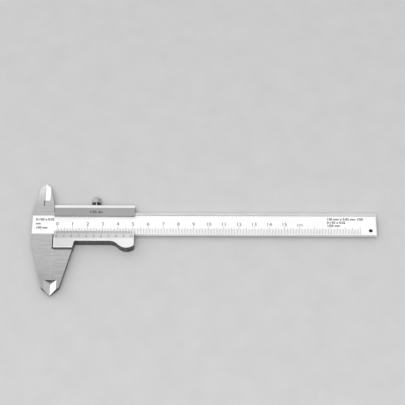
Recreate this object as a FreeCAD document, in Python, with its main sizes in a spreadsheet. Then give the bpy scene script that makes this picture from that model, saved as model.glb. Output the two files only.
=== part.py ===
import FreeCAD, Part
import os
import re

import Sketcher

# Vernier caliper, 150 mm range, 0.02 mm vernier, with crossing inside jaws, a depth rod and a lock screw.
# Millimetres. The origin is where the closed outside jaws meet, on the beam's centreline and in the plane
# that the caliper rests on, which is the slider's back: +X runs along the beam to its free end, +Y towards
# the inside jaws, and +Z out of the scale face. Inside each body, heights are measured from the beam's back
# face, and the body's Placement lifts it by the thickness of the slider's back.

DRIVING_SIZES = {
    # beam, head and fixed jaws
    "beam_width": 16.0,
    "beam_thickness": 3.0,
    "beam_end": 213.3,
    "end_chamfer": 0.9,
    "head_reach": 14.4,
    "head_corner_run": 0.75,
    "head_corner_drop": 1.6,
    "head_gap": 0.25,
    "guide_gap": 0.45,
    "scale_recess": 0.3,
    "rail_width": 1.85,
    "hanging_radius": 1.25,
    "hanging_from_end": 4.2,
    "hanging_below": 4.9,
    # outside jaws, which taper to thin blades at their tips
    "jaw_tip": 52.5,
    "jaw_shoulder": 47.4,
    "jaw_shoulder_half": 5.9,
    "jaw_root": 13.2,
    "jaw_root_fillet": 18.0,
    "jaw_shoulder_fillet": 2.0,
    "jaw_contact_gap": 0.01,
    "blade_start": 42.2,
    "blade_half": 4.0,
    "blade_edge": 0.9,
    "relief_half": 0.45,
    "relief_end": 19.3,
    # inside jaws, which cross each other in two layers of half the beam's thickness
    "inside_line": 7.0,
    "inside_tip": 30.6,
    "inside_shoulder": 27.2,
    "inside_shoulder_half": 3.35,
    "sliding_inside_tip": 31.2,
    "sliding_shoulder": 26.9,
    "sliding_shoulder_half": 3.95,
    "inside_root": 13.4,
    "inside_head_top": 12.9,
    "inside_root_fillet": 16.0,
    "inside_shoulder_fillet": 1.5,
    "inside_blade_start": 17.3,
    "inside_blade_edge": 0.3,
    "inside_slit_end": 18.3,
    "inside_slit_width": 0.8,
    "inside_front_drop": 0.2,
    # slider
    "running_gap": 0.05,
    "overlap": 0.9,
    "slider_end": 53.3,
    "slider_front": 5.0,
    "slider_back": 1.8,
    "guide_front": 4.05,
    "guide_lip": 5.05,
    "guide_flat": 11.2,
    "guide_top": 13.3,
    "guide_bevel_foot": 3.6,
    "vernier_edge": 5.9,
    "vernier_flat": 12.2,
    "vernier_lip": 0.15,
    "slider_bottom": 14.0,
    "boss_bottom": 19.05,
    "hook_start": 37.0,
    "hook_low": 48.5,
    "hook_drop": 5.05,
    "hook_end_rise": 2.0,
    "edge_break": 0.25,
    "front_break": 0.45,
    # gib and its two set screws
    "gib_thickness": 0.5,
    "gib_height": 2.4,
    "gib_inset": 3.0,
    "set_screw_radius": 1.2,
    "set_screw_inset": 8.6,
    "set_screw_sunk": 0.5,
    "slot_width": 0.5,
    "slot_depth": 0.6,
    # lock screw
    "lock_place": 27.3,
    "lock_radius": 1.25,
    "lock_neck_radius": 0.85,
    "lock_head_radius": 3.15,
    "lock_head_height": 4.3,
    "lock_head_taper": 1.0,
    "lock_head_from": 15.3,
    "lock_lift": 0.11,
    "knurl_count": 28,
    "knurl_radius": 0.22,
    "knurl_outside": 0.07,
    # depth rod in the groove of the beam's back, with its two screws
    "groove_width": 4.2,
    "groove_depth": 1.4,
    "groove_offset": 1.0,
    "groove_start": 30.0,
    "rod_width": 3.8,
    "rod_float": 0.1,
    "rod_start": 33.0,
    "rod_foot_end": 50.0,
    "rod_nose_length": 6.0,
    "rod_nose_width": 2.2,
    "rod_screw_first": 37.0,
    "rod_screw_pitch": 9.0,
    "rod_screw_radius": 0.6,
    "rod_screw_head_radius": 1.4,
    "rod_screw_reach": 0.9,
    # stop plate at the beam's free end, with its two screws
    "stop_start": 204.6,
    "stop_length": 3.0,
    "stop_thickness": 1.0,
    "stop_low": 4.5,
    "stop_high": 6.5,
    "stop_corner": 0.6,
    "stop_screw_spread": 3.9,
    "stop_screw_radius": 0.8,
    "stop_screw_head_radius": 1.15,
    "stop_screw_reach": 1.5,
    "stop_screw_break": 0.08,
    "screw_gap": 0.02,
    "screw_slot_depth": 0.35,
    "screw_slot_width": 0.4,
}

SMALLEST_CUT = 1e-4
TOUCHING = 1e-3

document = FreeCAD.newDocument("caliper")
sizes = document.addObject("Spreadsheet::Sheet", "Sizes")
for row, (alias, size) in enumerate(DRIVING_SIZES.items(), start=1):
    sizes.set(f"A{row}", alias)
    sizes.set(f"B{row}", str(size))
    sizes.setAlias(f"B{row}", alias)
document.recompute()

reader = document.addObject("App::FeaturePython", "SizeReader")
reader.addProperty("App::PropertyFloat", "Reading")


def in_sheet(text):
    """The expression text with each size name pointing at its cell in the sheet."""
    return re.sub(r"[a-z_]+", lambda name: "Sizes." + name.group(), text)


def number(text):
    """The present value of an expression of size names."""
    reader.setExpression("Reading", in_sheet(text))
    reader.recompute()
    return reader.Reading


def bind(thing, prop, text):
    thing.setExpression(prop, in_sheet(text))


def new_body(label):
    body = document.addObject("PartDesign::Body", label)
    body.Label = label
    bind(body, ".Placement.Base.z", "slider_back")
    return body


def sketch_on(body, name, role, offset="0"):
    """A sketch on one of the body's own origin planes, moved along the plane's normal by offset."""
    sketch = body.newObject("Sketcher::SketchObject", name)
    plane = next(item for item in body.Origin.OriginFeatures if item.Role == role)
    sketch.AttachmentSupport = [(plane, "")]
    sketch.MapMode = "FlatFace"
    bind(sketch, ".AttachmentOffset.Base.z", offset)
    return sketch


def constrain(sketch, kind, *place, text):
    """A dimension constraint that follows the sheet."""
    index = sketch.addConstraint(Sketcher.Constraint(kind, *place, number(text)))
    bind(sketch, f"Constraints[{index}]", text)


def arc_between(start, end, radius, left_turn):
    """The short arc from start to end, turning left (counter-clockwise) or right."""
    half_chord = (end - start) * 0.5
    across = FreeCAD.Vector(-half_chord.y, half_chord.x, 0)
    across.normalize()
    height = (radius**2 - half_chord.Length**2) ** 0.5
    centre = start + half_chord + across * (height if left_turn else -height)
    circle = Part.Circle(centre, FreeCAD.Vector(0, 0, 1), radius)
    first, last = (start, end) if left_turn else (end, start)
    return Part.ArcOfCircle(circle, circle.parameter(first), circle.parameter(last))


def outline(sketch, corners):
    """A closed outline through corners (x, y), each two expressions. A corner (x, y, radius, left_turn) is
    reached by an arc instead of a straight line."""
    places = [FreeCAD.Vector(number(corner[0]), number(corner[1]), 0) for corner in corners]
    ends = []
    for index, corner in enumerate(corners):
        start, end = places[index - 1], places[index]
        if len(corner) == 2:
            geometry = sketch.addGeometry(Part.LineSegment(start, end), False)
            ends.append((geometry, 1, 2))
        else:
            arc = arc_between(start, end, number(corner[2]), corner[3])
            geometry = sketch.addGeometry(arc, False)
            ends.append((geometry, 1, 2) if corner[3] else (geometry, 2, 1))
    for index, corner in enumerate(corners):
        geometry, _, last = ends[index]
        following, first, _ = ends[(index + 1) % len(ends)]
        sketch.addConstraint(Sketcher.Constraint("Coincident", geometry, last, following, first))
        constrain(sketch, "DistanceX", -1, 1, geometry, last, text=corner[0])
        constrain(sketch, "DistanceY", -1, 1, geometry, last, text=corner[1])
        if len(corner) > 2:
            constrain(sketch, "Radius", geometry, text=corner[2])


def circle(sketch, across, up, radius):
    centre = FreeCAD.Vector(number(across), number(up), 0)
    geometry = sketch.addGeometry(Part.Circle(centre, FreeCAD.Vector(0, 0, 1), number(radius)), False)
    constrain(sketch, "DistanceX", -1, 1, geometry, 3, text=across)
    constrain(sketch, "DistanceY", -1, 1, geometry, 3, text=up)
    constrain(sketch, "Radius", geometry, text=radius)


def rectangle(sketch, left, low, right, high):
    outline(sketch, [(left, low), (right, low), (right, high), (left, high)])


def add(body, name, sketch, length):
    """A pad along the sketch's normal."""
    feature = body.newObject("PartDesign::Pad", name)
    feature.Profile = sketch
    bind(feature, "Length", length)
    document.recompute()
    return feature


def take(body, name, sketch, depth, along_normal):
    """A pocket that must remove metal, cut along the sketch's normal or against it."""
    before = body.Shape.Volume
    feature = body.newObject("PartDesign::Pocket", name)
    feature.Profile = sketch
    feature.Reversed = along_normal
    bind(feature, "Length", depth)
    document.recompute()
    if body.Shape.Volume > before - SMALLEST_CUT:
        raise RuntimeError(f"{name} removed nothing")
    return feature


def turn(body, name, sketch):
    """A full revolution about the sketch's vertical axis."""
    feature = body.newObject("PartDesign::Revolution", name)
    feature.Profile = sketch
    feature.ReferenceAxis = (sketch, ["V_Axis"])
    feature.Angle = 360.0
    document.recompute()
    return feature


def dress(body, kind, name, size, wanted):
    """A Fillet or Chamfer of the body's edges that the test wanted accepts."""
    base = body.Tip
    edges = [f"Edge{i}" for i, edge in enumerate(base.Shape.Edges, start=1) if wanted(edge)]
    if not edges:
        raise RuntimeError(f"{name} found no edges")
    feature = body.newObject(f"PartDesign::{kind}", name)
    feature.Base = (base, edges)
    bind(feature, "Radius" if kind == "Fillet" else "Size", size)
    document.recompute()
    return feature


def upright_at(across, up):
    """A test for edges parallel to Z that stand at a point of the XY plane."""
    x, y = number(across), number(up)

    def test(edge):
        places = [vertex.Point for vertex in edge.Vertexes]
        return len(places) == 2 and all(abs(p.x - x) + abs(p.y - y) < TOUCHING for p in places)

    return test


def within(edge, axis, place):
    """Whether all of an edge lies where the given coordinate has one value."""
    box = edge.BoundBox
    low = getattr(box, axis + "Min")
    high = getattr(box, axis + "Max")
    return abs(low - place) < TOUCHING and abs(high - place) < TOUCHING


def beam_plate(body):
    """The beam with the head and the fixed outside jaw, as one plate."""
    sketch = sketch_on(body, "PlateOutline", "XY_Plane")
    outline(
        sketch,
        [
            ("beam_end", "-beam_width / 2"),
            ("beam_end", "beam_width / 2"),
            ("-head_reach", "beam_width / 2"),
            ("-head_reach", "-jaw_root"),
            ("-jaw_shoulder_half", "-jaw_shoulder"),
            ("0", "-jaw_tip"),
            ("0", "-relief_end"),
            ("-relief_half", "-relief_end"),
            ("-relief_half", "-beam_width / 2"),
        ],
    )
    add(body, "Plate", sketch, "beam_thickness")
    dress(body, "Fillet", "JawRoot", "jaw_root_fillet", upright_at("-head_reach", "-jaw_root"))
    dress(
        body,
        "Fillet",
        "JawShoulder",
        "jaw_shoulder_fillet",
        upright_at("-jaw_shoulder_half", "-jaw_shoulder"),
    )


def beam_inside_jaw(body):
    """The head's top and the fixed inside jaw, in the front half of the thickness."""
    sketch = sketch_on(body, "InsideJawOutline", "XY_Plane", "beam_thickness / 2")
    outline(
        sketch,
        [
            ("-guide_gap", "beam_width / 2 - rail_width"),
            ("-guide_gap", "inside_root"),
            ("-inside_line + inside_shoulder_half", "inside_shoulder"),
            ("-inside_line", "inside_tip"),
            ("-inside_line", "inside_head_top"),
            ("-head_reach + head_corner_run", "inside_head_top"),
            ("-head_reach", "inside_head_top - head_corner_drop"),
            ("-head_reach", "beam_width / 2 - rail_width"),
        ],
    )
    add(body, "InsideJaw", sketch, "beam_thickness / 2")
    dress(body, "Fillet", "InsideRoot", "inside_root_fillet", upright_at("-guide_gap", "inside_root"))
    dress(
        body,
        "Fillet",
        "InsideShoulder",
        "inside_shoulder_fillet",
        upright_at("-inside_line + inside_shoulder_half", "inside_shoulder"),
    )
    bevel = sketch_on(body, "InsideBladeBevel", "XZ_Plane", "-inside_blade_start")
    outline(
        bevel,
        [
            ("-inside_line", "beam_thickness / 2 + inside_blade_edge"),
            ("-inside_line + inside_shoulder_half", "beam_thickness"),
            ("-inside_line", "beam_thickness"),
        ],
    )
    take(body, "InsideBlade", bevel, "inside_tip", along_normal=False)


def outside_blade(body, side):
    """The thin blade at an outside jaw's tip: side is -1 on the fixed jaw and 1 on the sliding one."""
    bevel = sketch_on(body, "BladeBevel", "XZ_Plane", "blade_start")
    outline(
        bevel,
        [
            ("0", "blade_edge"),
            (f"{side} * blade_half", "beam_thickness"),
            (f"{side} * blade_half", "beam_thickness + blade_edge"),
            ("0", "beam_thickness + blade_edge"),
        ],
    )
    take(body, "Blade", bevel, "jaw_tip", along_normal=True)


def make_beam():
    body = new_body("beam")
    beam_plate(body)
    beam_inside_jaw(body)
    outside_blade(body, -1)

    bevel = sketch_on(body, "EndBevel", "XZ_Plane", "-beam_width / 2")
    outline(
        bevel,
        [
            ("beam_end - end_chamfer", "beam_thickness"),
            ("beam_end", "beam_thickness - end_chamfer"),
            ("beam_end", "beam_thickness"),
        ],
    )
    take(body, "EndBreak", bevel, "beam_width", along_normal=True)

    scale = sketch_on(body, "ScaleFace", "XY_Plane", "beam_thickness")
    rectangle(scale, "-head_reach", "-beam_width / 2", "beam_end", "beam_width / 2 - rail_width")
    take(body, "ScaleRecess", scale, "scale_recess", along_normal=False)

    groove = sketch_on(body, "GrooveOutline", "XY_Plane")
    low, high = "groove_offset - groove_width / 2", "groove_offset + groove_width / 2"
    rectangle(groove, "groove_start", low, "beam_end", high)
    take(body, "RodGroove", groove, "groove_depth", along_normal=True)

    hanging = sketch_on(body, "HangingHoleCircle", "XY_Plane")
    circle(hanging, "beam_end - hanging_from_end", "-hanging_below", "hanging_radius")
    take(body, "HangingHole", hanging, "beam_thickness", along_normal=True)

    screws = sketch_on(body, "StopScrewCircles", "XY_Plane")
    for side in ("-", "+"):
        across, up = "stop_start + stop_length / 2", f"groove_offset {side} stop_screw_spread"
        circle(screws, across, up, "stop_screw_radius + screw_gap")
    take(body, "StopScrewHoles", screws, "stop_screw_reach + screw_gap", along_normal=True)

    top, back = number("beam_width / 2"), 0.0
    dress(
        body,
        "Chamfer",
        "BackBreak",
        "edge_break",
        lambda e: within(e, "Z", back) and (within(e, "Y", top) or within(e, "Y", -top)),
    )
    return body


def slider_channel(body):
    """The slider's body: one channel section around the beam, open over the scale. Only its guide, above the
    scale, and its back reach the plane where the jaws meet."""
    section = sketch_on(body, "ChannelSection", "YZ_Plane", "relief_half")
    roof = "beam_width / 2 + gib_thickness + 2 * running_gap"
    ceiling = "beam_thickness + running_gap"
    guide = [
        ("guide_lip", ceiling),
        ("guide_lip", "guide_front"),
        ("guide_flat", "guide_front"),
        ("guide_top", "guide_bevel_foot"),
        ("guide_top", "-slider_back"),
    ]
    outline(
        section,
        guide
        + [
            ("-slider_bottom", "-slider_back"),
            ("-slider_bottom", "slider_front"),
            ("-vernier_flat", "slider_front"),
            ("-vernier_edge", ceiling + " + vernier_lip"),
            ("-vernier_edge", ceiling),
            ("-beam_width / 2 - running_gap", ceiling),
            ("-beam_width / 2 - running_gap", "-running_gap"),
            (roof, "-running_gap"),
            (roof, ceiling),
        ],
    )
    add(body, "Channel", section, "slider_end - relief_half")

    guide_end = sketch_on(body, "GuideEndSection", "YZ_Plane")
    outline(guide_end, guide + [(roof, "-slider_back"), (roof, ceiling)])
    add(body, "GuideEnd", guide_end, "relief_half")

    plate = sketch_on(body, "BackOutline", "XY_Plane", "-slider_back")
    rectangle(plate, "0", "-boss_bottom", "overlap", "guide_top")
    add(body, "BackEdge", plate, "slider_back - running_gap")


def slider_outside_jaw(body):
    """The sliding outside jaw, as thick as the beam, and the thicker boss at its root."""
    jaw = sketch_on(body, "JawOutline", "XY_Plane")
    outline(
        jaw,
        [
            ("relief_half", "-vernier_flat"),
            ("relief_half", "-relief_end"),
            ("jaw_contact_gap", "-relief_end"),
            ("jaw_contact_gap", "-jaw_tip"),
            ("jaw_shoulder_half", "-jaw_shoulder"),
            ("head_reach", "-jaw_root"),
            ("head_reach", "-vernier_flat"),
        ],
    )
    add(body, "Jaw", jaw, "beam_thickness")
    dress(
        body,
        "Fillet",
        "JawShoulder",
        "jaw_shoulder_fillet",
        upright_at("jaw_shoulder_half", "-jaw_shoulder"),
    )
    outside_blade(body, 1)

    taper = "(head_reach - jaw_shoulder_half) / (jaw_shoulder - jaw_root)"
    boss = sketch_on(body, "BossOutline", "XY_Plane", "-slider_back")
    outline(
        boss,
        [
            ("relief_half", "-vernier_flat"),
            ("relief_half", "-boss_bottom"),
            (f"head_reach - (boss_bottom - jaw_root) * {taper}", "-boss_bottom"),
            ("head_reach", "-jaw_root"),
            ("head_reach", "-vernier_flat"),
        ],
    )
    add(body, "Boss", boss, "slider_back + slider_front")


def slider_thumb_hook(body):
    """The hook under the slider's far end that the thumb pushes: an S curve, then a rising round end."""
    run, drop = "(hook_low - hook_start)", "hook_drop"
    bend = f"({run} * {run} + {drop} * {drop}) / (4 * {drop})"
    end_run = "(slider_end - hook_low)"
    end_bend = f"({end_run} * {end_run} + hook_end_rise * hook_end_rise) / (2 * hook_end_rise)"
    hook = sketch_on(body, "HookOutline", "XY_Plane", "-slider_back")
    outline(
        hook,
        [
            ("hook_start", "-vernier_flat"),
            ("hook_start", "-slider_bottom"),
            ("(hook_start + hook_low) / 2", "-slider_bottom - hook_drop / 2", bend, False),
            ("hook_low", "-slider_bottom - hook_drop", bend, True),
            ("slider_end", "-slider_bottom - hook_drop + hook_end_rise", end_bend, True),
            ("slider_end", "-vernier_flat"),
        ],
    )
    add(body, "Hook", hook, "slider_back + slider_front")


def slider_inside_jaw(body):
    """The sliding inside jaw, in the back half of the thickness, reached by an arm behind the head. It is thinned
    along its measuring edge, widely at the back and narrowly at the front."""
    jaw = sketch_on(body, "InsideJawOutline", "XY_Plane")
    outline(
        jaw,
        [
            ("overlap", "inside_head_top"),
            ("-inside_line - inside_slit_width", "inside_head_top"),
            ("-inside_line - inside_slit_width", "inside_slit_end"),
            ("-inside_line", "inside_slit_end"),
            ("-inside_line", "sliding_inside_tip"),
            ("-inside_line - sliding_shoulder_half", "sliding_shoulder"),
            ("-head_reach + head_corner_run", "inside_root"),
            ("-head_reach + head_gap", "inside_head_top - head_corner_drop"),
            ("-head_reach + head_gap", "beam_width / 2 + 2 * running_gap"),
            ("overlap", "beam_width / 2 + 2 * running_gap"),
        ],
    )
    add(body, "InsideJaw", jaw, "beam_thickness / 2 - running_gap")
    dress(
        body,
        "Fillet",
        "InsideShoulder",
        "inside_shoulder_fillet",
        upright_at("-inside_line - sliding_shoulder_half", "sliding_shoulder"),
    )
    top = "beam_thickness / 2 - running_gap"
    edge = f"{top} - inside_front_drop"
    bevel = sketch_on(body, "InsideBladeBevel", "XZ_Plane", "-inside_blade_start")
    outline(
        bevel,
        [
            ("-inside_line - sliding_shoulder_half", "0"),
            ("-inside_line", "0"),
            ("-inside_line", f"{edge} - inside_blade_edge"),
        ],
    )
    take(body, "InsideBlade", bevel, "sliding_inside_tip", along_normal=False)
    front = sketch_on(body, "InsideFrontBevel", "XZ_Plane", "-inside_slit_end")
    outline(
        front,
        [
            ("-inside_line - inside_slit_width", top),
            ("-inside_line", edge),
            ("-inside_line", top),
        ],
    )
    take(body, "InsideFront", front, "sliding_inside_tip", along_normal=False)


def slider_holes(body):
    """Holes for the screws in the top of the guide, and for the rod's screws in the back."""
    top = sketch_on(body, "TopScrewCircles", "XZ_Plane", "-guide_top")
    middle = "beam_thickness / 2"
    circle(top, "lock_place", middle, "lock_radius + running_gap")
    for place in ("set_screw_inset", "slider_end - set_screw_inset"):
        circle(top, place, middle, "set_screw_radius + running_gap")
    take(body, "TopScrewHoles", top, "guide_top - beam_width / 2", along_normal=True)

    back = sketch_on(body, "RodScrewCircles", "XY_Plane", "-slider_back")
    for step in (0, 1):
        circle(back, f"rod_screw_first + {step} * rod_screw_pitch", "groove_offset", "rod_screw_head_radius")
    take(body, "RodScrewHoles", back, "slider_back", along_normal=True)


def make_slider():
    body = new_body("slider")
    slider_channel(body)
    slider_outside_jaw(body)
    slider_thumb_hook(body)
    slider_inside_jaw(body)
    slider_holes(body)
    front, back = number("slider_front"), -number("slider_back")
    crease = -number("vernier_flat")

    def lower_rim(edge):
        below = edge.BoundBox.YMin < crease - number("edge_break")
        return within(edge, "Z", front) and below

    def back_rim(edge):
        return within(edge, "Z", back) and not edge.isClosed()

    dress(body, "Chamfer", "LowerFrontBreak", "front_break", lower_rim)
    dress(body, "Chamfer", "BackBreak", "edge_break", back_rim)
    return body


def make_gib():
    """The bronze strip between the slider's guide and the beam's top edge."""
    body = new_body("gib")
    strip = sketch_on(body, "StripOutline", "XZ_Plane", "-beam_width / 2 - running_gap")
    low, high = "(beam_thickness - gib_height) / 2", "(beam_thickness + gib_height) / 2"
    left, right = "gib_inset", "slider_end - gib_inset"
    outline(
        strip,
        [
            (left, high),
            (left, low, "gib_height / 2 + running_gap", True),
            (right, low),
            (right, high, "gib_height / 2 + running_gap", True),
        ],
    )
    pad = add(body, "Strip", strip, "gib_thickness")
    pad.Reversed = True
    document.recompute()
    return body


def stand_on_y(body, place, height):
    """Turn a screw's own +Z axis to the caliper's +Y, and put its tip at a place along the slider."""
    body.Placement = FreeCAD.Placement(FreeCAD.Vector(), FreeCAD.Rotation(FreeCAD.Vector(1, 0, 0), -90))
    bind(body, ".Placement.Base.x", place)
    bind(body, ".Placement.Base.y", height)
    bind(body, ".Placement.Base.z", "slider_back + beam_thickness / 2")


def cut_slot(body, top, width, depth, length):
    """A screwdriver slot across a screw's end, at the height top on its own axis."""
    slot = sketch_on(body, "SlotOutline", "XY_Plane", top)
    rectangle(slot, f"-{length}", f"-{width} / 2", length, f"{width} / 2")
    take(body, "Slot", slot, depth, along_normal=False)


def make_set_screw(label, place):
    """A slotted headless screw that sets how hard the gib bears on the beam."""
    body = new_body(label)
    profile = sketch_on(body, "Profile", "XZ_Plane")
    roof = "(beam_width / 2 + gib_thickness + 2 * running_gap)"
    length = f"guide_top - {roof} - set_screw_sunk"
    outline(
        profile,
        [
            ("0", "0"),
            ("set_screw_radius / 2", "0"),
            ("set_screw_radius", "set_screw_radius / 2"),
            ("set_screw_radius", length),
            ("0", length),
        ],
    )
    turn(body, "Shank", profile)
    cut_slot(body, length, "slot_width", "slot_depth", "set_screw_radius")
    stand_on_y(body, place, roof)
    return body


def make_lock_screw():
    """The knurled screw that clamps the slider: threaded shank, thin neck and round head."""
    body = new_body("lock_screw")
    profile = sketch_on(body, "Profile", "XZ_Plane")
    tip = "(beam_width / 2 + gib_thickness + 2 * running_gap + lock_lift)"
    shank_end = f"guide_top - {tip} - edge_break"
    head_from = f"lock_head_from - {tip}"
    head_top = f"{head_from} + lock_head_height"
    outline(
        profile,
        [
            ("0", "0"),
            ("lock_radius - edge_break", "0"),
            ("lock_radius", "edge_break"),
            ("lock_radius", shank_end),
            ("lock_neck_radius", shank_end),
            ("lock_neck_radius", head_from),
            ("lock_head_radius - edge_break", head_from),
            ("lock_head_radius", f"{head_from} + edge_break"),
            ("lock_head_radius", f"{head_top} - lock_head_taper"),
            ("lock_head_radius - lock_head_taper", head_top),
            ("0", f"{head_top} + edge_break"),
        ],
    )
    turn(body, "Turning", profile)
    flute = sketch_on(body, "FluteCircle", "XY_Plane", f"{head_top} + edge_break")
    circle(flute, "lock_head_radius + knurl_outside", "0", "knurl_radius")
    cut = take(body, "Flute", flute, "lock_head_height + 2 * edge_break", along_normal=False)
    knurl = body.newObject("PartDesign::PolarPattern", "Knurl")
    knurl.Originals = [cut]
    knurl.Axis = (next(item for item in body.Origin.OriginFeatures if item.Role == "Z_Axis"), [""])
    knurl.Angle = 360.0
    bind(knurl, "Occurrences", "knurl_count")
    body.Tip = knurl
    document.recompute()
    stand_on_y(body, "lock_place", tip)
    return body


def make_depth_rod():
    """The flat rod in the beam's groove, with a thicker foot under the slider's back."""
    body = new_body("depth_rod")
    rod = sketch_on(body, "RodOutline", "XY_Plane", "rod_float")
    low, high = "groove_offset - rod_width / 2", "groove_offset + rod_width / 2"
    nose_low, nose_high = "groove_offset - rod_nose_width / 2", "groove_offset + rod_nose_width / 2"
    step = "(rod_width - rod_nose_width) / 2"
    outline(
        rod,
        [
            ("rod_start", low),
            (f"beam_end - rod_nose_length - {step}", low),
            ("beam_end - rod_nose_length", nose_low),
            ("beam_end", nose_low),
            ("beam_end", nose_high),
            ("beam_end - rod_nose_length", nose_high),
            (f"beam_end - rod_nose_length - {step}", high),
            ("rod_start", high),
        ],
    )
    add(body, "Rod", rod, "groove_depth - 2 * rod_float")
    foot = sketch_on(body, "FootOutline", "XY_Plane", "-running_gap")
    rectangle(foot, "rod_start", low, "rod_foot_end", high)
    add(body, "Foot", foot, "groove_depth - rod_float + running_gap")
    holes = sketch_on(body, "ScrewCircles", "XY_Plane", "-running_gap")
    for step in (0, 1):
        across = f"rod_screw_first + {step} * rod_screw_pitch"
        circle(holes, across, "groove_offset", "rod_screw_radius + screw_gap")
    take(body, "ScrewHoles", holes, "rod_screw_reach + running_gap + screw_gap", along_normal=True)
    return body


def make_rod_screw(label, place):
    """A flush screw that holds the depth rod to the slider's back. It stands along +Z, head at the back."""
    body = new_body(label)
    profile = sketch_on(body, "Profile", "XZ_Plane")
    inner = "slider_back - running_gap"
    reach = "slider_back + rod_screw_reach"
    outline(
        profile,
        [
            ("0", "0"),
            ("rod_screw_head_radius - screw_gap", "0"),
            ("rod_screw_head_radius - screw_gap", inner),
            ("rod_screw_radius", inner),
            ("rod_screw_radius", reach),
            ("0", reach),
        ],
    )
    turn(body, "Turning", profile)
    slot = sketch_on(body, "SlotOutline", "XY_Plane")
    half = "rod_screw_head_radius"
    rectangle(slot, f"-{half}", "-screw_slot_width / 2", half, "screw_slot_width / 2")
    take(body, "Slot", slot, "screw_slot_depth", along_normal=True)
    bind(body, ".Placement.Base.x", place)
    bind(body, ".Placement.Base.y", "groove_offset")
    bind(body, ".Placement.Base.z", "0")
    return body


def make_stop_plate():
    """The bar across the beam's back that stops the slider and keeps the rod in its groove."""
    body = new_body("stop_plate")
    plate = sketch_on(body, "PlateOutline", "XY_Plane", "-stop_thickness")
    right = "stop_start + stop_length"
    rectangle(plate, "stop_start", "-stop_low", right, "stop_high")
    for side in ("-", "+"):
        across, up = "stop_start + stop_length / 2", f"groove_offset {side} stop_screw_spread"
        circle(plate, across, up, "stop_screw_radius + screw_gap")
    add(body, "Plate", plate, "stop_thickness")
    left_edge, right_edge = number("stop_start"), number(right)

    def corner(edge):
        upright = edge.BoundBox.YLength < TOUCHING
        return upright and (within(edge, "X", left_edge) or within(edge, "X", right_edge))

    dress(body, "Fillet", "Corners", "stop_corner", corner)
    return body


def make_stop_screw(label, side):
    """A cheese-head screw of the stop plate: side is - on the hanging hole's side and + on the other."""
    body = new_body(label)
    profile = sketch_on(body, "Profile", "XZ_Plane")
    head = "slider_back - stop_thickness"
    reach = "slider_back + stop_screw_reach"
    outline(
        profile,
        [
            ("0", "0"),
            ("stop_screw_head_radius - stop_screw_break", "0"),
            ("stop_screw_head_radius", "stop_screw_break"),
            ("stop_screw_head_radius", head),
            ("stop_screw_radius", head),
            ("stop_screw_radius", reach),
            ("0", reach),
        ],
    )
    turn(body, "Turning", profile)
    slot = sketch_on(body, "SlotOutline", "XY_Plane")
    half = "stop_screw_head_radius"
    rectangle(slot, f"-{half}", "-screw_slot_width / 2", half, "screw_slot_width / 2")
    take(body, "Slot", slot, "screw_slot_depth", along_normal=True)
    bind(body, ".Placement.Base.x", "stop_start + stop_length / 2")
    bind(body, ".Placement.Base.y", f"groove_offset {side} stop_screw_spread")
    bind(body, ".Placement.Base.z", "0")
    return body


def write_steps(bodies):
    """Check every object of the document, then write one file for each piece."""
    document.recompute()
    failed = [item.Name for item in document.Objects if {"Invalid", "Error"} & set(item.State)]
    if failed:
        raise RuntimeError(f"failed objects: {failed}")
    os.makedirs("parts", exist_ok=True)
    for body in bodies:
        shape = body.Shape
        if shape.isNull() or not shape.isValid() or len(shape.Solids) != 1:
            raise RuntimeError(f"{body.Label} is not one valid solid")
        shape.exportStep(f"parts/{body.Label}.step")
        print(f"{body.Label}: {shape.Volume:.1f} mm3")


write_steps(
    [
        make_beam(),
        make_slider(),
        make_gib(),
        make_set_screw("gib_screw_left", "set_screw_inset"),
        make_set_screw("gib_screw_right", "slider_end - set_screw_inset"),
        make_lock_screw(),
        make_depth_rod(),
        make_rod_screw("depth_rod_screw_left", "rod_screw_first"),
        make_rod_screw("depth_rod_screw_right", "rod_screw_first + rod_screw_pitch"),
        make_stop_plate(),
        make_stop_screw("stop_plate_screw_upper", "+"),
        make_stop_screw("stop_plate_screw_lower", "-"),
    ]
)
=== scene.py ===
import math

import bmesh
import bpy
from mathutils import Matrix, Vector


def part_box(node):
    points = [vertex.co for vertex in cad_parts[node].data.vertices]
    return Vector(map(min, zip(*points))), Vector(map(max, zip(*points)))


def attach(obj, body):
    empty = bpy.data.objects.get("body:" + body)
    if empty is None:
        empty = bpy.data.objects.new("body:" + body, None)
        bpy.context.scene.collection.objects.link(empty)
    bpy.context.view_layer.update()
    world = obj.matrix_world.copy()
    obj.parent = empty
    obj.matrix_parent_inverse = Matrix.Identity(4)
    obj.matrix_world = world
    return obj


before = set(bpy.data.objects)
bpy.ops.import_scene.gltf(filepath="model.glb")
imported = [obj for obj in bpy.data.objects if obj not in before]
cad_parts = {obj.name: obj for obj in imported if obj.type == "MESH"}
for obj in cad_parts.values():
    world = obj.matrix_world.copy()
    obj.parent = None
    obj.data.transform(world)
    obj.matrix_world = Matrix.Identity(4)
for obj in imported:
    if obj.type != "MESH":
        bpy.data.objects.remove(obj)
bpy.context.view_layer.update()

# The looks of a vernier caliper. Metres, in the frame of the CAD: X along the beam, Y towards the inside
# jaws, Z out of the scale face, and z = 0 is the plane it rests on.

MM = 0.001

# ---- places that the rest is worked out from ----


def extent(node, axis, wanted):
    """The lowest and highest coordinate on one axis of a node's vertices that the test wanted accepts."""
    values = [v.co[axis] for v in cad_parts[node].data.vertices if wanted(v.co)]
    return min(values), max(values)


SLIDER_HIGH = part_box("slider")[1]
BEAM_LOW, BEAM_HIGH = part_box("beam")


def on_bare_beam(place):
    return place.x > 2 * SLIDER_HIGH.x


def above_scale(place):
    return place.y > 0


BAR_LOW, BAR_HIGH = extent("beam", 1, on_bare_beam)
RAIL_TOP = BEAM_HIGH.z
BEAM_BACK = BEAM_LOW.z
SCALE_RECESS = 0.3 * MM
SCALE_TOP = RAIL_TOP - SCALE_RECESS
SLIDER_TOP = SLIDER_HIGH.z
GUIDE_TOP = extent("slider", 2, above_scale)[1]

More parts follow.
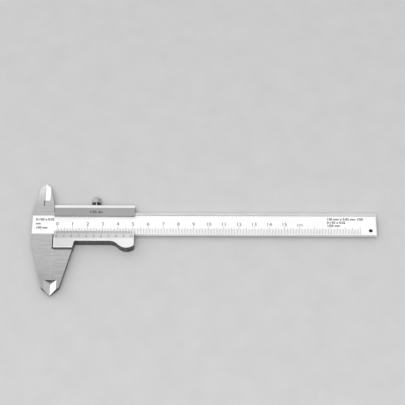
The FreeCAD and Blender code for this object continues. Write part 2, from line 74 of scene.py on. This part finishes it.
# The vernier face slopes from its thin edge down the slider to the flat of the boss.
VERNIER_EDGE = Vector((0, -5.9 * MM, BEAM_BACK + 3.2 * MM))
VERNIER_FOOT = Vector((0, -12.2 * MM, SLIDER_TOP))

# The closed jaws leave a slit between their roots.
SLIT_HALF = 0.45 * MM

# Graduations: the main scale starts a little past the closed jaws, and the vernier's zero meets it there.
ZERO = 2.2 * MM
MAIN_COUNT = 200
LAST_CENTIMETRE = 15
VERNIER_COUNT = 50
VERNIER_STEP = 5
VERNIER_PITCH = 49 * MM / VERNIER_COUNT


# ---- materials ----


def add_node(tree, kind, inputs=None, **settings):
    """A shader node: inputs are values or sockets to link, settings are the node's own properties."""
    made = tree.nodes.new(kind)
    for name, value in settings.items():
        setattr(made, name, value)
    for name, value in (inputs or {}).items():
        if isinstance(value, bpy.types.NodeSocket):
            tree.links.new(value, made.inputs[name])
        else:
            made.inputs[name].default_value = value
    return made


def new_material(name):
    material = bpy.data.materials.new(name)
    material.use_nodes = True
    tree = material.node_tree
    return material, tree, tree.nodes["Principled BSDF"]


def maths(tree, operation, first, second):
    return add_node(tree, "ShaderNodeMath", {0: first, 1: second}, operation=operation).outputs["Value"]


def noise(tree, frequency, detail=4.0):
    """Noise from 0 to 1 whose grain has the given number of features per metre along X, Y and Z."""
    place = add_node(tree, "ShaderNodeTexCoord").outputs["Object"]
    scaled = add_node(tree, "ShaderNodeMapping", {"Vector": place, "Scale": frequency})
    made = add_node(
        tree,
        "ShaderNodeTexNoise",
        {"Vector": scaled.outputs["Vector"], "Scale": 1.0, "Detail": detail, "Roughness": 0.6},
    )
    return made.outputs["Fac"]


def remap(tree, value, low, high, low_in=0.3, high_in=0.7):
    """value, taken from low_in..high_in to low..high and held there."""
    made = add_node(
        tree,
        "ShaderNodeMapRange",
        {"Value": value, "From Min": low_in, "From Max": high_in, "To Min": low, "To Max": high},
    )
    return made.outputs["Result"]


def tinted(tree, value, tint=(1.0, 1.0, 1.0)):
    """A colour from a grey value and a tint."""
    red, green, blue = (maths(tree, "MULTIPLY", value, share) for share in tint)
    made = add_node(tree, "ShaderNodeCombineColor", {"Red": red, "Green": green, "Blue": blue})
    return made.outputs["Color"]


def edge_wear(tree, rounded):
    """1 on edges, where handling has polished the metal, and 0 away from them."""
    flat = add_node(tree, "ShaderNodeNewGeometry").outputs["True Normal"]
    match = add_node(tree, "ShaderNodeVectorMath", {0: rounded, 1: flat}, operation="DOT_PRODUCT")
    return remap(tree, match.outputs["Value"], 1.0, 0.0, 0.80, 0.985)


def corner_grime(tree, reach):
    """1 on open faces, falling to 0 deep in inner corners: painted shade that darkens the colour in the
    corners.
    """
    shaded = add_node(tree, "ShaderNodeAmbientOcclusion", {"Distance": reach}, samples=8, only_local=True)
    return remap(tree, shaded.outputs["AO"], 0.0, 1.0, 0.35, 0.85)


EDGE_ROUNDING = 0.10 * MM
CORNER_SHADE_REACH = 0.6 * MM
STEEL_TINT = (1.0, 1.0, 1.012)


def steel(name, tone, spread, roughness, streaks, relief, worn=0.85, metallic=1.0, tint=STEEL_TINT):
    """Worked steel. tone is its reflectance, or a function that works it out in the node tree; coarse
    streaks change it by spread and edges bring it to worn. roughness is a (low, high) pair, streaks the
    grain's frequency along X, Y and Z, and relief the grain's depth."""
    material, tree, surface = new_material(name)
    if callable(tone):
        tone = tone(tree)
    coarse = noise(tree, streaks)
    fine = noise(tree, [4 * frequency for frequency in streaks], detail=2.0)
    cloud = noise(tree, (45, 45, 45), detail=1.0)
    grain = maths(tree, "MULTIPLY", maths(tree, "ADD", coarse, fine), 0.5)
    rounded = add_node(tree, "ShaderNodeBevel", {"Radius": EDGE_ROUNDING}, samples=6).outputs["Normal"]

    value = maths(tree, "ADD", tone, remap(tree, coarse, -spread, spread))
    value = maths(tree, "MULTIPLY", value, remap(tree, fine, 0.96, 1.04))
    value = maths(tree, "MULTIPLY", value, remap(tree, cloud, 0.97, 1.03))
    lifted = add_node(
        tree, "ShaderNodeMix", {"Factor": edge_wear(tree, rounded), "A": value, "B": worn}, data_type="FLOAT"
    )
    # Painted shade: the colour darkens in inner corners.
    unshaded = remap(tree, corner_grime(tree, CORNER_SHADE_REACH), 0.25, 1.0, 0.0, 1.0)
    value = maths(tree, "MULTIPLY", lifted.outputs["Result"], unshaded)
    tree.links.new(tinted(tree, value, tint), surface.inputs["Base Color"])
    tree.links.new(remap(tree, grain, *roughness), surface.inputs["Roughness"])
    bumped = add_node(tree, "ShaderNodeBump", {"Height": grain, "Distance": relief, "Normal": rounded})
    tree.links.new(bumped.outputs["Normal"], surface.inputs["Normal"])
    surface.inputs["Metallic"].default_value = metallic
    return material


def ink(name):
    """The black filler of engraved marks, a little worn and uneven."""
    material, tree, surface = new_material(name)
    speckle = noise(tree, (2500, 2500, 2500))
    tree.links.new(tinted(tree, remap(tree, speckle, 0.008, 0.03)), surface.inputs["Base Color"])
    tree.links.new(remap(tree, speckle, 0.5, 0.8), surface.inputs["Roughness"])
    surface.inputs["Specular IOR Level"].default_value = 0.2
    return material


def along(tree, axis):
    """A place's coordinate on one axis of the frame."""
    place = add_node(tree, "ShaderNodeTexCoord").outputs["Object"]
    return add_node(tree, "ShaderNodeSeparateXYZ", {"Vector": place}).outputs[axis]


def graded(axis, low, high, start, end):
    """A tone that changes from low to high between two places along an axis."""
    return lambda tree: remap(tree, along(tree, axis), low, high, start, end)


def jaw_tone(tip_lift):
    """The tone of a jaw's front, darker towards the outside tip and lighter towards the inside one."""

    def tone(tree):
        body = graded("Y", 0.37, 0.49, -48 * MM, -24 * MM)(tree)
        tip = graded("Y", 0.0, tip_lift, 15 * MM, 30 * MM)(tree)
        return maths(tree, "ADD", body, tip)

    return tone


RAIL_TONE = 0.70


def beam_tone(tree):
    """The beam's front: the fixed jaws, and past the closed jaws a brighter rail."""
    rail = graded("X", 0.0, 1.0, -0.5 * MM, 0.5 * MM)(tree)
    jaws = jaw_tone(0.12)(tree)
    mixed = add_node(tree, "ShaderNodeMix", {"Factor": rail, "A": jaws, "B": RAIL_TONE}, data_type="FLOAT")
    return mixed.outputs["Result"]


# The slider's upper faces grow lighter between these two places along it.
SLIDER_RAMP = (5 * MM, 50 * MM)
VERNIER_TONE = graded("X", 0.58, 0.75, *SLIDER_RAMP)
BOSS_TONE = graded("X", 0.68, 0.88, *SLIDER_RAMP)
GUIDE_TONE = graded("X", 0.375, 0.405, *SLIDER_RAMP)

# Grain: features per metre along X, Y and Z.
BELT_GROUND = (90, 1500, 1500)
SURFACE_GROUND = (14, 2400, 2400)
MILLED = (900, 900, 60)
BLASTED = (3000, 3000, 3000)
TURNED = (700, 700, 700)

SATIN_ROUGH = (0.36, 0.42)
FACE = steel("beam_face", beam_tone, 0.07, (0.30, 0.42), BELT_GROUND, 0.007 * MM, worn=0.62)
JAWS = steel("jaw_face", jaw_tone(0.34), 0.07, (0.30, 0.42), BELT_GROUND, 0.007 * MM, worn=0.62)
# Milled side walls, given a dark tone that is partly their finish and partly painted shade.
MILLED_SHADED_SIDES = steel("milled_sides_painted_shade", 0.15, 0.05, (0.34, 0.46), MILLED, 0.006 * MM, worn=0.5)
# The slit's walls and the step below the boss: near black, painted shade.
SHADE_RECESS = steel("painted_shade_recess", 0.04, 0.01, (0.40, 0.50), MILLED, 0.004 * MM, worn=0.10)
CHROME = steel("satin_chrome", 0.96, 0.01, (0.50, 0.60), BLASTED, 0.002 * MM, worn=0.97, metallic=0.1)
SATIN = steel("satin_vernier", VERNIER_TONE, 0.02, SATIN_ROUGH, BLASTED, 0.002 * MM, worn=0.95, metallic=0.9)
BOSS = steel("satin_boss", BOSS_TONE, 0.02, SATIN_ROUGH, BLASTED, 0.002 * MM, worn=0.95, metallic=0.9)
GUIDE = steel("guide_face", GUIDE_TONE, 0.008, (0.30, 0.34), SURFACE_GROUND, 0.0004 * MM, worn=0.6)
BRIGHT = steel("bright_bevel", 0.92, 0.04, (0.24, 0.32), SURFACE_GROUND, 0.003 * MM, worn=0.95)
BLADE = steel("ground_blade", 0.86, 0.05, (0.26, 0.34), BELT_GROUND, 0.004 * MM, worn=0.9)
SCREW = steel("screw_steel", 0.45, 0.06, (0.26, 0.36), TURNED, 0.003 * MM)
KNURLED = steel("knurled_steel", 0.54, 0.06, (0.22, 0.34), TURNED, 0.003 * MM, worn=0.7)
ROD = steel("rod_steel", 0.50, 0.06, (0.28, 0.38), SURFACE_GROUND, 0.004 * MM)
BRONZE = steel("spring_bronze", 0.85, 0.05, (0.3, 0.4), SURFACE_GROUND, 0.003 * MM, tint=(0.80, 0.52, 0.28))
INK = ink("scale_ink")


def paint(node, materials, choose=None):
    """Give a CAD node its materials; choose(centre, normal) says which one each face takes."""
    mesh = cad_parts[node].data
    mesh.materials.clear()
    for material in materials:
        mesh.materials.append(material)
    if choose:
        for face in mesh.polygons:
            face.material_index = materials.index(choose(face.center, face.normal))


def near(value, target, slack=0.03 * MM):
    return abs(value - target) < slack


def is_level(normal):
    return normal.z > 0.99


def is_tilted(normal):
    return 0.3 < normal.z < 0.98


def is_upright(normal):
    return abs(normal.z) < 0.3


def is_steep(normal):
    """Upright, or the bevel beside an upright face."""
    return abs(normal.z) < 0.8


def on_rim(centre):
    """Whether a face is on one of the long edges or the free end of the bar."""
    slack = 0.3 * MM
    across = centre.y < BAR_LOW + slack or centre.y > BAR_HIGH - slack
    return centre.x > BEAM_HIGH.x - 3 * slack or (centre.x > 0 and across)


def in_recess(centre, normal):
    """Whether an upright face is a wall of the slit, or the step from the boss down to the jaw; these are
    painted near black as shade.
    """
    slit_wall = abs(normal.x) > 0.9 and near(abs(centre.x), SLIT_HALF)
    step = normal.y < -0.9 and centre.z > RAIL_TOP
    return centre.y < 0 and (slit_wall or step)


def beam_finish(centre, normal):
    """The scale's face and the bar's rim are satin chrome, other walls milled and dark with painted shade,
    the slit's walls near black with painted shade, and thin blades bright.
    """
    if is_level(normal) and near(centre.z, SCALE_TOP):
        return CHROME
    if is_steep(normal) and on_rim(centre):
        return CHROME
    if is_upright(normal):
        return SHADE_RECESS if in_recess(centre, normal) else MILLED_SHADED_SIDES
    return BLADE if is_tilted(normal) else FACE


def slider_finish(centre, normal):
    """The guide is smooth grey with a bright bevel, and the boss and the vernier's slope are satin. The
    chamfers below the boss are white chrome as a painted highlight, walls dark with painted shade, blades
    bright and the jaws' fronts brushed."""
    if is_upright(normal):
        return SHADE_RECESS if in_recess(centre, normal) else MILLED_SHADED_SIDES
    if is_level(normal) and near(centre.z, GUIDE_TOP):
        return GUIDE
    if is_level(normal) and near(centre.z, SLIDER_TOP):
        return BOSS
    # The chamfers below the boss take the white chrome as a painted highlight.
    if is_tilted(normal) and centre.z > RAIL_TOP and centre.y < 0:
        return SATIN if centre.y > VERNIER_FOOT.y else CHROME
    if is_tilted(normal) and centre.x > 0:
        return BRIGHT if centre.y > 0 else BLADE
    return JAWS


def dress_cad():
    paint("beam", [FACE, MILLED_SHADED_SIDES, SHADE_RECESS, CHROME, BLADE], beam_finish)
    paint("slider", [JAWS, MILLED_SHADED_SIDES, SHADE_RECESS, CHROME, GUIDE, SATIN, BOSS, BRIGHT, BLADE], slider_finish)
    paint("gib", [BRONZE])
    paint("lock_screw", [KNURLED])
    for name in ("depth_rod", "stop_plate"):
        paint(name, [ROD])
    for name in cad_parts:
        if "_screw" in name and name != "lock_screw":
            paint(name, [SCREW])


# ---- marks on the scales ----

INK_PROUD = 0.008 * MM
INK_DEPTH = 0.03 * MM
LINE_WIDTH = 0.20 * MM


def on_scale(place_y):
    """The height of the main scale's face, which is the same all across it."""
    return SCALE_TOP


def on_vernier(place_y):
    """The height of the sloping vernier face at a place across it."""
    share = (VERNIER_EDGE.y - place_y) / (VERNIER_EDGE.y - VERNIER_FOOT.y)
    return VERNIER_EDGE.z + share * (VERNIER_FOOT.z - VERNIER_EDGE.z)


def add_line(mesh, x, start, end, height_at):
    """One engraved line across the scale at x, from start to end, as a thin closed bar sunk in the face."""
    corners = []
    for y in (start, end):
        for side in (-0.5, 0.5):
            for level in (-INK_DEPTH, INK_PROUD):
                corners.append(mesh.verts.new((x + side * LINE_WIDTH, y, height_at(y) + level)))
    a, b, c, d, e, f, g, h = corners
    for face in ((b, d, h, f), (a, e, g, c), (a, c, d, b), (e, f, h, g), (a, b, f, e), (c, g, h, d)):
        mesh.faces.new(face)


def finish_piece(name, mesh, material, body):
    """Turn an edit mesh into a visible piece that rides on a body."""
    bmesh.ops.recalc_face_normals(mesh, faces=mesh.faces)
    data = bpy.data.meshes.new(name)
    mesh.to_mesh(data)
    mesh.free()
    piece = bpy.data.objects.new(name, data)
    bpy.context.scene.collection.objects.link(piece)
    data.materials.append(material)
    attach(piece, body)


MARKS_LOW = BAR_LOW + 0.4 * MM
TEN_TOP = -2.3 * MM
FIVE_TOP = -3.0 * MM
ONE_TOP = -3.8 * MM
VERNIER_GAP = 0.05 * MM
VERNIER_LONG = 3.0 * MM
VERNIER_SHORT = 2.0 * MM


def main_scale_lines():
    """A line for each millimetre, longer at each fifth and longest at each tenth."""
    mesh = bmesh.new()
    for step in range(MAIN_COUNT + 1):
        top = TEN_TOP if step % 10 == 0 else FIVE_TOP if step % 5 == 0 else ONE_TOP
        add_line(mesh, ZERO + step * MM, MARKS_LOW, top, on_scale)
    finish_piece("main_scale_lines", mesh, INK, "beam")


def vernier_lines():
    """Fifty divisions over 49 mm, longer at each fifth."""
    mesh = bmesh.new()
    top = VERNIER_EDGE.y - VERNIER_GAP
    for step in range(VERNIER_COUNT + 1):
        length = VERNIER_LONG if step % VERNIER_STEP == 0 else VERNIER_SHORT
        add_line(mesh, ZERO + step * VERNIER_PITCH, top - length, top, on_vernier)
    finish_piece("vernier_lines", mesh, INK, "slider")


def letters(text, size, centre, tilt=0.0, bold=0.0, align="CENTER"):
    """Lettering as a mesh, facing up unless tilted about X; bold is added to each side of a stroke."""
    curve = bpy.data.curves.new("lettering", "FONT")
    curve.body = text
    curve.size = size
    curve.align_x = align
    curve.align_y = "CENTER"
    curve.offset = bold
    curve.extrude = INK_DEPTH / 2
    curve.resolution_u = 4
    holder = bpy.data.objects.new("lettering", curve)
    bpy.context.scene.collection.objects.link(holder)
    bpy.context.view_layer.update()
    flat = bpy.data.meshes.new_from_object(holder.evaluated_get(bpy.context.evaluated_depsgraph_get()))
    sink = Vector((0, 0, INK_PROUD - INK_DEPTH / 2))
    flat.transform(Matrix.Translation(centre) @ Matrix.Rotation(tilt, 4, "X") @ Matrix.Translation(sink))
    bpy.data.objects.remove(holder)
    bpy.data.curves.remove(curve)
    return flat


def join(name, flats, body):
    """Several letterings as one ink piece."""
    mesh = bmesh.new()
    for flat in flats:
        mesh.from_mesh(flat)
        bpy.data.meshes.remove(flat)
    finish_piece(name, mesh, INK, body)


NUMERAL_SIZE = 3.7 * MM
NUMERAL_LINE = -0.5 * MM
UNIT_SIZE = 3.3 * MM
UNIT_PLACE = 160.3 * MM
UNIT_DROP = 0.2 * MM
VERNIER_NUMERAL_SIZE = 2.3 * MM
VERNIER_NUMERAL_LINE = -10.8 * MM


def main_numerals():
    """A numeral for each centimetre, and the unit after the last one."""
    flats = []
    for number in range(LAST_CENTIMETRE + 1):
        centre = Vector((ZERO + 10 * number * MM, NUMERAL_LINE, SCALE_TOP))
        flats.append(letters(str(number), NUMERAL_SIZE, centre))
    centre = Vector((ZERO + UNIT_PLACE, NUMERAL_LINE - UNIT_DROP, SCALE_TOP))
    flats.append(letters("cm", UNIT_SIZE, centre))
    join("main_scale_numerals", flats, "beam")


def vernier_numerals():
    """A numeral at each long line of the vernier, lying on its slope."""
    slope = -math.atan2(VERNIER_FOOT.z - VERNIER_EDGE.z, VERNIER_EDGE.y - VERNIER_FOOT.y)
    height = on_vernier(VERNIER_NUMERAL_LINE)
    flats = []
    for number in range(VERNIER_COUNT // VERNIER_STEP + 1):
        x = ZERO + VERNIER_STEP * number * VERNIER_PITCH
        centre = Vector((x, VERNIER_NUMERAL_LINE, height))
        flats.append(letters(str(number), VERNIER_NUMERAL_SIZE, centre, tilt=slope))
    join("vernier_numerals", flats, "slider")


GUIDE_BOLD = 0.04 * MM
BEAM_BOLD = 0.08 * MM


def block(left, lines):
    """Lines of lettering that start at left on the scale's face, each (text, size, place across) in mm."""
    return [
        letters(text, size * MM, Vector((left, across * MM, SCALE_TOP)), bold=BEAM_BOLD, align="LEFT")
        for text, size, across in lines
    ]


def unit_marks():
    """Plain numbers and units: the division on the guide, and the range at both ends of the beam."""
    guide = Vector((27.4 * MM, 7.9 * MM, GUIDE_TOP))
    join("guide_marks", [letters("1/50 div", 2.8 * MM, guide, bold=GUIDE_BOLD)], "slider")
    head = [("0-150 x 0.02", 2.36, 2.9), ("mm", 2.1, -0.2), ("1/50 mm", 2.2, -3.3)]
    end = [("150 mm x 0.02 mm 1/50", 2.4, 3.6), ("0-150 x 0.02", 2.4, 1.1), ("1/50 mm", 2.4, -1.3)]
    head_left = BEAM_LOW.x + 2.3 * MM
    end_left = BEAM_HIGH.x - 32.9 * MM
    join("beam_marks", block(head_left, head) + block(end_left, end), "beam")


# ---- stage, light and camera ----


FLOOR_HALF = 5.0
FLOOR_TONES = (0.58, 0.61)


def pale_floor():
    """A matt grey plane under the caliper, wide enough for every view."""
    mesh = bmesh.new()
    signs = ((-1, -1), (1, -1), (1, 1), (-1, 1))
    corners = [mesh.verts.new((x * FLOOR_HALF, y * FLOOR_HALF, 0)) for x, y in signs]
    mesh.faces.new(corners)
    data = bpy.data.meshes.new("floor")
    mesh.to_mesh(data)
    mesh.free()
    floor = bpy.data.objects.new("floor", data)
    bpy.context.scene.collection.objects.link(floor)
    material, tree, surface = new_material("pale_floor")
    tone = remap(tree, noise(tree, (60, 60, 60)), *FLOOR_TONES)
    tree.links.new(tinted(tree, tone), surface.inputs["Base Color"])
    surface.inputs["Roughness"].default_value = 0.9
    surface.inputs["Specular IOR Level"].default_value = 0.2
    data.materials.append(material)


def soft_light(name, place, aim, width, height, power):
    """A rectangular softbox at place, facing aim."""
    data = bpy.data.lights.new(name, "AREA")
    data.shape = "RECTANGLE"
    data.size, data.size_y = width, height
    data.energy = power
    lamp = bpy.data.objects.new(name, data)
    lamp.location = place
    lamp.rotation_euler = (Vector(aim) - Vector(place)).to_track_quat("-Z", "Y").to_euler()
    bpy.context.scene.collection.objects.link(lamp)


def surround():
    """A plain white studio that is brightest above, towards the back and the left."""
    world = bpy.data.worlds.new("studio")
    world.use_nodes = True
    tree = world.node_tree
    towards = add_node(tree, "ShaderNodeTexCoord").outputs["Generated"]
    bright_side = Vector((-0.30, 0.35, 0.89)).normalized()
    facing = add_node(tree, "ShaderNodeVectorMath", {0: towards, 1: bright_side}, operation="DOT_PRODUCT")
    level = remap(tree, facing.outputs["Value"], 0.20, 1.0, 0.2, 0.85)
    tree.links.new(tinted(tree, level), tree.nodes["Background"].inputs["Color"])
    bpy.context.scene.world = world


def studio():
    """Softboxes behind, to the left and in front of the caliper, in a plain white surround."""
    middle = Vector(((BEAM_LOW.x + BEAM_HIGH.x) / 2, 0, 0))
    soft_light("back_softbox", (0.0, 1.3, 0.16), middle, 1.8, 0.4, 1.25)
    soft_light("left_softbox", (-0.95, 0.60, 0.65), middle, 0.9, 0.6, 0.85)
    soft_light("front_softbox", (0.0, -0.75, 1.30), middle, 1.2, 0.8, 10.0)
    surround()
    bpy.context.scene.view_settings.view_transform = "Standard"


def camera():
    """A long lens in front of the caliper and well above it, looking 30 degrees off square to its face."""
    tilt = math.radians(30.3)
    turn = Matrix.Rotation(math.radians(0.22), 4, "Z")
    distance = 911.6 * MM
    aim = Vector((103.0 * MM, 17.9 * MM, BEAM_BACK))
    out = turn @ Vector((0, -math.sin(tilt), math.cos(tilt)))
    data = bpy.data.cameras.new("camera")
    data.lens = 121.0
    data.shift_x = -0.0185
    data.clip_end = 10.0
    made = bpy.data.objects.new("camera", data)
    made.matrix_world = Matrix.Translation(aim + distance * out) @ turn @ Matrix.Rotation(tilt, 4, "X")
    bpy.context.scene.collection.objects.link(made)
    bpy.context.scene.camera = made


dress_cad()
main_scale_lines()
vernier_lines()
main_numerals()
vernier_numerals()
unit_marks()
pale_floor()
studio()
camera()
